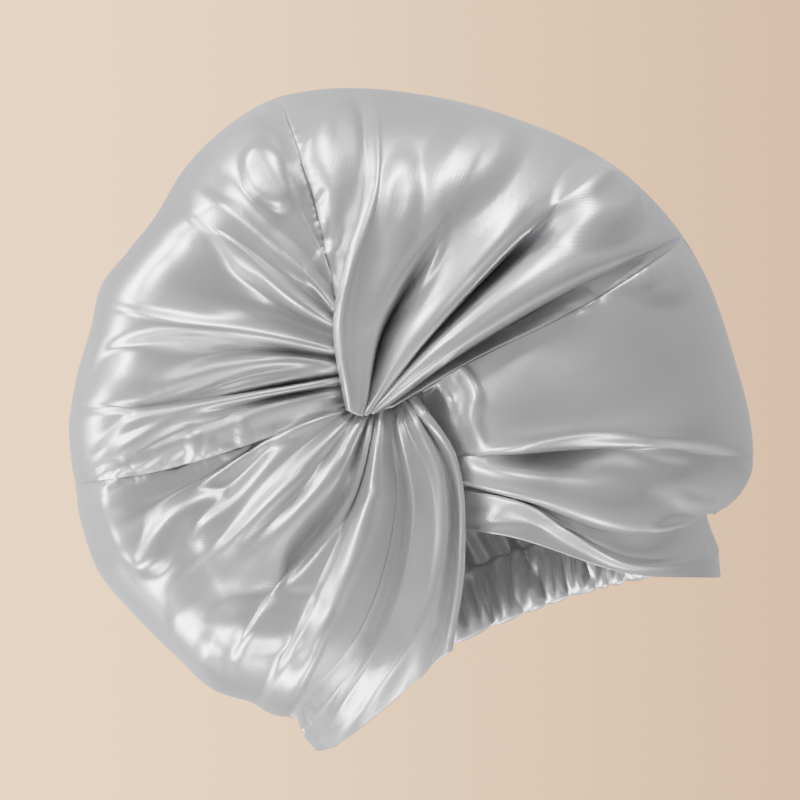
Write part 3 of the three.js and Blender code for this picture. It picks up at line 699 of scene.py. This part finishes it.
def cloth_object(name, grid):
    """A sheet of cloth from a grid of points, its pattern laid out in real lengths."""
    columns, rows = grid.shape[:2]
    along = np.linalg.norm(np.diff(grid, axis=1), axis=-1)
    across = np.linalg.norm(np.diff(grid, axis=0), axis=-1)
    v = np.concatenate([np.zeros((columns, 1)), np.cumsum(along, 1)], 1)
    u = np.concatenate([np.zeros((1, rows)), np.cumsum(across, 0)], 0)
    uvs = np.stack([u, v], -1).reshape(-1, 2)
    obj = mesh_object(name, grid.reshape(-1, 3), grid_faces(columns, rows), uvs)
    solid = obj.modifiers.new("thickness", "SOLIDIFY")
    solid.thickness = SHEET_THICKNESS * MM
    solid.offset = -1
    return obj


def casing_edge(share, height):
    """The casing's form. share runs from the right ear round the nape, and height from hem to seam."""
    turn = np.pi * share
    nape = np.sin(np.clip(turn, 0, np.pi)) ** NAPE_SHAPE
    right = KNOT_HEIGHT + outline_place(FOLD_UNDER_WRAP.deg - CASING_TURN)[1]
    left = KNOT_HEIGHT + outline_place(DEEP_FOLD.deg)[1]
    tall = mix(mix(right, left, share), CASING_HEIGHT, nape)
    z = height * tall + NAPE_LIFT * nape + EAR_LIFT * (1 - nape)
    half = mix(RIM_HALF_WIDTH, half_width(CASING_HEIGHT), height) - EAR_TUCK * (1 - nape)
    taper = CASING_TAPER * nape * (1 - height)
    facing = np.stack([np.cos(turn), np.sin(turn), np.zeros_like(turn)], -1)
    points = np.stack([RIM_SIDE + half * np.cos(turn), WIDEST_Y + RIM_DEPTH * np.sin(turn), z], -1)
    return points - taper[..., None] * facing, facing


def back_grid(degrees):
    """The crown's back, from the outline down to the casing, gathered more and more towards it."""
    first, last = FOLD_UNDER_WRAP.deg, DEEP_FOLD.deg
    share = mix(EAR_SHARE, 1 - EAR_SHARE, (degrees - first) / (last - first))
    seam, seam_facing = casing_edge(share, np.ones_like(share))
    start = outline_place(degrees)
    end = np.stack([seam[:, 0] - KNOT_SIDE, seam[:, 2] - KNOT_HEIGHT], -1)
    miss = seam[:, 1] - crown_form(end, 1)[0][:, 1]
    topness = np.maximum(0, np.sin(np.radians(degrees)))
    swing = np.radians(mix(SWING_FROM_SIDES, SWING_FROM_TOP, topness))
    v = np.linspace(0, 1, ROWS_ALONG_BACK + 1)[1:]
    along = (1 - np.cos(swing[:, None] * v)) / (1 - np.cos(swing[:, None]))
    places = mix(start[:, None], end[:, None], along[..., None])
    points, facing = crown_form(places, 1)
    points[..., 1] += miss[:, None] * v**2
    facing = unit(mix(facing, seam_facing[:, None], (v**2)[None, :, None]))
    arc = share * NAPE_ARC
    narrow = GATHER_HEIGHT * np.sin(2 * np.pi * arc / GATHER_PITCH + 1.5 * np.sin(arc / 23))
    wide = WIDE_GATHER_HEIGHT * np.sin(2 * np.pi * arc / WIDE_GATHER_PITCH + 1)
    billow = BILLOW_HEIGHT * np.sin(arc / BILLOW_LENGTH + 0.7)
    near_casing = v**6 * (1 - 0.8 * v**12)
    between = v**1.5 * (1 - v) ** 0.6
    lift = (narrow + wide)[:, None] * near_casing + billow[:, None] * between
    return points + facing * lift[..., None]


def crown_panel(name, folds, hidden=0.0, tucked=False):
    """A panel of the crown and its share of the back. hidden is how much of its right seam starts behind the
    front band, and tucked panels start under the tongue."""
    shares = front_shares(ROWS_ALONG_FRONT)
    lines = []
    for fold in folds:
        start = 0.0
        if tucked and fold is SEAM_TOP:
            start = TUCK_TOP
        if hidden and fold is SEAM_RIGHT:
            start = hidden
        under_tongue = tucked and fold not in (SEAM_TOP, SEAM_LEFT)
        places, lifts = fold_samples(fold, mix(start, 1, shares), under_tongue)
        degrees = np.full((len(shares), 1), fold.deg)
        lines.append(np.concatenate([places, lifts[:, None], degrees], 1))
    grid = across_lines(np.array(lines), COLUMNS_PER_FOLD)
    degrees = grid[:, -1, 3]
    miss = outline_place(degrees) - grid[:, -1, :2]
    grid[..., :2] += miss[:, None] * (shares**3)[None, :, None]
    points, facing = crown_form(grid[..., :2], -1)
    seams = [fold for fold in (folds[0], folds[-1]) if fold in (SEAM_TOP, SEAM_LEFT, SEAM_RIGHT)]
    fade = np.clip((1 - shares) / OUTLINE_FADE, 0, 1)
    lift = grid[..., 2] + relief(name, grid[..., :2], seams) * fade
    points = points + facing * lift[..., None]
    whole = np.concatenate([points, back_grid(degrees)], 1)
    return cloth_object(name + "_cloth", whole)


def band_panel(name, folds):
    """A half of the front band, which leaves the crown's form for the forehead's."""
    shares = front_shares(ROWS_ALONG_FRONT)
    lines = []
    for fold in folds:
        places, lifts = fold_samples(fold, shares)
        points, facing = crown_form(places, -1)
        if isinstance(fold, BandFold):
            band_points, band_facing = band_form(places)
            points = mix(points, band_points, fold.band)
            facing = unit(mix(facing, band_facing, fold.band))
        lines.append(np.concatenate([points, facing, lifts[:, None]], 1))
    grid = across_lines(np.array(lines), COLUMNS_PER_FOLD)
    places = grid[..., [0, 2]] - np.array([KNOT_SIDE, KNOT_HEIGHT])
    lift = grid[..., 6] + relief(name, places, [])
    points = grid[..., :3] + unit(grid[..., 3:6]) * lift[..., None]
    return cloth_object(name + "_cloth", points)


def casing():
    """A gathered tunnel of satin round the nape: plump ruffles with sharp, slanting pinches."""
    share = np.linspace(CASING_START, 1 - CASING_START, CASING_COLUMNS)
    turn = np.linspace(0, 2 * np.pi, CASING_ROUND + 1)
    arc = share[:, None] * NAPE_ARC
    rise = np.sign(np.cos(turn)) * np.abs(np.cos(turn)) ** CASING_ROUNDNESS
    height = np.clip(CASING_MIDDLE + CASING_REACH * rise, CASING_LOWEST, CASING_HIGHEST)[None]
    slant = RUFFLE_SLANT * np.sin(arc / 21) * (height - 0.5) + 1.5 * np.sin(arc / 5 + 4 * height)
    phase = np.pi * (arc + slant) / CASING_PITCH + 0.9 * np.sin(arc / 17) + 0.5 * np.sin(arc / 7.3)
    ruffle = np.abs(np.sin(phase)) ** RUFFLE_PLUMPNESS
    ripple = np.sin(arc / CRUMPLE_LENGTH + 4 * height + 1.8 * np.sin(arc / 6))
    crumple = CRUMPLE_DEPTH * ripple * np.sin(np.pi * np.clip(height, 0, 1))
    points, facing = casing_edge(
        np.repeat(share[:, None], CASING_ROUND + 1, 1), np.repeat(height, CASING_COLUMNS, 0)
    )
    ends = np.clip(np.minimum(share, 1 - share) / CASING_END_FADE, 0.25, 1)[:, None]
    depth = np.sin(turn)[None] * (1 + (RUFFLE_DEPTH * ruffle + crumple) * ends)
    scallop = SCALLOP * (ruffle - 0.6) * (1 - 2 * height) * np.abs(2 * height - 1)
    points = points + facing * (depth - CASING_INSET)[..., None]
    points[..., 2] -= scallop
    girth = 2 * CASING_HEIGHT * turn / (2 * np.pi)
    uvs = np.stack(np.broadcast_arrays(arc, girth[None]), -1).reshape(-1, 2)
    faces = grid_faces(CASING_COLUMNS, CASING_ROUND + 1, flip=True)
    return mesh_object("elastic_casing_cloth", points.reshape(-1, 3), faces, uvs)


def new_material(name):
    material = bpy.data.materials.new(name)
    material.use_nodes = True
    nodes = material.node_tree.nodes
    return material, nodes, material.node_tree.links, nodes["Principled BSDF"]


def satin_material():
    """Silver satin: a smooth, slightly uneven sheen over a fine weave, duller where the cloth is worn."""
    material, nodes, links, shader = new_material("silver_satin")
    shader.inputs["Metallic"].default_value = 0.84
    shader.inputs["IOR"].default_value = 1.5
    shader.inputs["Anisotropic"].default_value = 0.35
    shader.inputs["Sheen Weight"].default_value = 0.08
    shader.inputs["Sheen Roughness"].default_value = 0.4

    place = nodes.new("ShaderNodeTexCoord")
    broad = nodes.new("ShaderNodeTexNoise")
    broad.inputs["Scale"].default_value = 18
    broad.inputs["Detail"].default_value = 3
    links.new(place.outputs["Object"], broad.inputs["Vector"])

    tone = nodes.new("ShaderNodeValToRGB")
    tone.color_ramp.elements[0].position = 0.35
    tone.color_ramp.elements[0].color = (0.66, 0.66, 0.67, 1)
    tone.color_ramp.elements[1].position = 0.7
    tone.color_ramp.elements[1].color = (0.72, 0.72, 0.73, 1)
    links.new(broad.outputs["Fac"], tone.inputs["Fac"])
    links.new(tone.outputs["Color"], shader.inputs["Base Color"])

    gloss = nodes.new("ShaderNodeMapRange")
    gloss.inputs["To Min"].default_value = 0.3
    gloss.inputs["To Max"].default_value = 0.4
    links.new(broad.outputs["Fac"], gloss.inputs["Value"])
    links.new(gloss.outputs["Result"], shader.inputs["Roughness"])

    cloth = nodes.new("ShaderNodeUVMap")
    weave = nodes.new("ShaderNodeTexWave")
    weave.wave_type = "BANDS"
    weave.bands_direction = "DIAGONAL"
    weave.inputs["Scale"].default_value = 260
    weave.inputs["Distortion"].default_value = 1.5
    links.new(cloth.outputs["UV"], weave.inputs["Vector"])
    slack = nodes.new("ShaderNodeTexNoise")
    slack.inputs["Scale"].default_value = 120
    slack.inputs["Detail"].default_value = 2
    links.new(place.outputs["Object"], slack.inputs["Vector"])
    fine = nodes.new("ShaderNodeBump")
    fine.inputs["Strength"].default_value = 0.08
    fine.inputs["Distance"].default_value = 0.0002
    links.new(weave.outputs["Fac"], fine.inputs["Height"])
    soft = nodes.new("ShaderNodeBump")
    soft.inputs["Strength"].default_value = 0.25
    soft.inputs["Distance"].default_value = 0.0006
    links.new(slack.outputs["Fac"], soft.inputs["Height"])
    links.new(fine.outputs["Normal"], soft.inputs["Normal"])
    links.new(soft.outputs["Normal"], shader.inputs["Normal"])
    return material


def picture_direction(clock, tilt):
    """A direction from the bonnet, tilted away from the camera towards a clock direction of the picture."""
    turn, lean = math.radians(clock), math.radians(tilt)
    across = Vector((math.cos(ROLL), 0, math.sin(ROLL))) * math.cos(turn)
    up = Vector((-math.sin(ROLL), 0, math.cos(ROLL))) * math.sin(turn)
    return (across + up) * math.sin(lean) + Vector((0, -1, 0)) * math.cos(lean)


def soft_light(name, clock, tilt, size, power):
    data = bpy.data.lights.new(name, "AREA")
    data.shape = "RECTANGLE"
    data.size, data.size_y = size
    data.energy = power
    light = bpy.data.objects.new(name, data)
    middle = Vector((0, 0, KNOT_HEIGHT * MM))
    direction = picture_direction(clock, tilt)
    light.location = middle + direction * LIGHT_DISTANCE
    light.rotation_euler = direction.to_track_quat("Z", "Y").to_euler()
    bpy.context.scene.collection.objects.link(light)


def world_value(nodes, links, direction, low, high):
    """A smooth step from 0 to 1 as the direction of view turns towards the one given."""
    place = nodes.new("ShaderNodeTexCoord")
    dot = nodes.new("ShaderNodeVectorMath")
    dot.operation = "DOT_PRODUCT"
    dot.inputs[1].default_value = direction
    links.new(place.outputs["Generated"], dot.inputs[0])
    step = nodes.new("ShaderNodeMapRange")
    step.interpolation_type = "SMOOTHSTEP"
    step.inputs["From Min"].default_value = low
    step.inputs["From Max"].default_value = high
    links.new(dot.outputs["Value"], step.inputs["Value"])
    return step.outputs["Result"]


def world_shade(nodes, links, value, dark, light):
    shade = nodes.new("ShaderNodeMix")
    shade.data_type = "RGBA"
    shade.inputs[MIX_FROM].default_value = (*dark, 1)
    shade.inputs[MIX_TO].default_value = (*light, 1)
    links.new(value, shade.inputs[MIX_SHARE])
    return shade


def world_glow(nodes, links, shade):
    glow = nodes.new("ShaderNodeBackground")
    links.new(shade.outputs[MIX_RESULT], glow.inputs["Color"])
    return glow.outputs[0]


def backdrop():
    """A beige wall behind the bonnet, and the pale room round it that lights it."""
    world = bpy.data.worlds.new("studio")
    world.use_nodes = True
    bpy.context.scene.world = world
    nodes, links = world.node_tree.nodes, world.node_tree.links
    picture_right = (math.cos(ROLL), 0, math.sin(ROLL))
    across = world_value(nodes, links, picture_right, *WALL_FADE)
    wall = world_glow(nodes, links, world_shade(nodes, links, across, WALL_LEFT, WALL_RIGHT))
    around = world_value(nodes, links, ROOM_BRIGHTEST, *ROOM_FADE)
    shade = world_shade(nodes, links, around, ROOM_DARK, ROOM_LIGHT)
    corner = world_value(nodes, links, picture_direction(CORNER_CLOCK, CORNER_TILT), *CORNER_FADE)
    # The corner darkens whatever shade the room has there.
    corner_shade = world_shade(nodes, links, corner, ROOM_DARK, ROOM_CORNER)
    links.new(shade.outputs[MIX_RESULT], corner_shade.inputs[MIX_FROM])
    room = world_glow(nodes, links, corner_shade)
    blend = nodes.new("ShaderNodeMixShader")
    path = nodes.new("ShaderNodeLightPath")
    links.new(path.outputs["Is Camera Ray"], blend.inputs[0])
    links.new(room, blend.inputs[1])
    links.new(wall, blend.inputs[2])
    links.new(blend.outputs[0], nodes["World Output"].inputs[0])
    nodes.remove(nodes["Background"])


def camera():
    """Looks at the bonnet's front, level, and rolled as the photo shows the bonnet turned."""
    data = bpy.data.cameras.new("camera")
    data.sensor_width = SENSOR_WIDTH
    data.lens = SENSOR_WIDTH * CAMERA_DISTANCE / PICTURE_WIDTH
    obj = bpy.data.objects.new("camera", data)
    right = (math.cos(ROLL), 0, math.sin(ROLL))
    up = (-math.sin(ROLL), 0, math.cos(ROLL))
    back = (0, -1, 0)
    rotation = Matrix((right, up, back)).transposed().to_4x4()
    rotation.translation = (CAMERA_X, WIDEST_Y * MM - CAMERA_DISTANCE, CAMERA_HEIGHT)
    obj.matrix_world = rotation
    bpy.context.scene.collection.objects.link(obj)
    bpy.context.scene.camera = obj


def floor():
    """A pale floor, as far down as it is from a head."""
    turns = np.linspace(0, 2 * np.pi, FLOOR_SIDES, endpoint=False)
    rim = FLOOR_RADIUS * np.stack([np.cos(turns), np.sin(turns)], -1)
    points = np.concatenate([rim, np.full((len(turns), 1), -FLOOR_DROP)], 1)
    obj = mesh_object("floor", points, [list(range(len(turns)))])
    material, nodes, links, shader = new_material("pale_floor")
    shader.inputs["Roughness"].default_value = 0.8
    patches = nodes.new("ShaderNodeTexNoise")
    patches.inputs["Scale"].default_value = 2
    tone = nodes.new("ShaderNodeValToRGB")
    tone.color_ramp.elements[0].color = (0.6, 0.59, 0.57, 1)
    tone.color_ramp.elements[1].color = (0.64, 0.63, 0.61, 1)
    links.new(patches.outputs["Fac"], tone.inputs["Fac"])
    links.new(tone.outputs["Color"], shader.inputs["Base Color"])
    obj.data.materials.append(material)


satin = satin_material()
# Each piece with its node, the size that its cloth was cut from and its flat area.
CLOTHS = (
    (crown_panel("crown_right", CROWN_RIGHT), "crown_right", (0.33, 0.52), 0.091),
    (crown_panel("crown_left", CROWN_LEFT, tucked=True), "crown_left", (0.34, 0.5), 0.094),
    (crown_panel("side_left", SIDE_LEFT), "side_left", (0.25, 0.42), 0.051),
    (crown_panel("side_right", SIDE_RIGHT, hidden=HIDDEN_SHARE), "side_right", (0.2, 0.38), 0.039),
    (band_panel("front_wrap_left", WRAP_LEFT), "front_wrap_left", (0.11, 0.24), 0.0112),
    (band_panel("front_wrap_right", WRAP_RIGHT), "front_wrap_right", (0.05, 0.2), 0.006),
    (casing(), "elastic_casing", (0.06, 0.38), 0.022),
)
for piece, node, flat, area in CLOTHS:
    piece.data.materials.append(satin)
    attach(piece, "root")
    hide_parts(node)
floor()

backdrop()
# Soft lights: name, clock direction, tilt, size in metres and power in watts.
LIGHTS = (
    ("key", 146, 60, (0.6, 0.5), 20),
    ("upper_left", 135, 88, (0.7, 0.6), 22),
    ("left", 182, 88, (0.7, 0.6), 20),
    ("lower_left", 226, 86, (0.8, 0.6), 24),
    ("low", 236, 60, (0.6, 0.5), 16),
    ("top", 85, 74, (0.9, 0.5), 24),
    ("below", 280, 78, (0.8, 0.5), 12),
)
for light in LIGHTS:
    soft_light(*light)
camera()
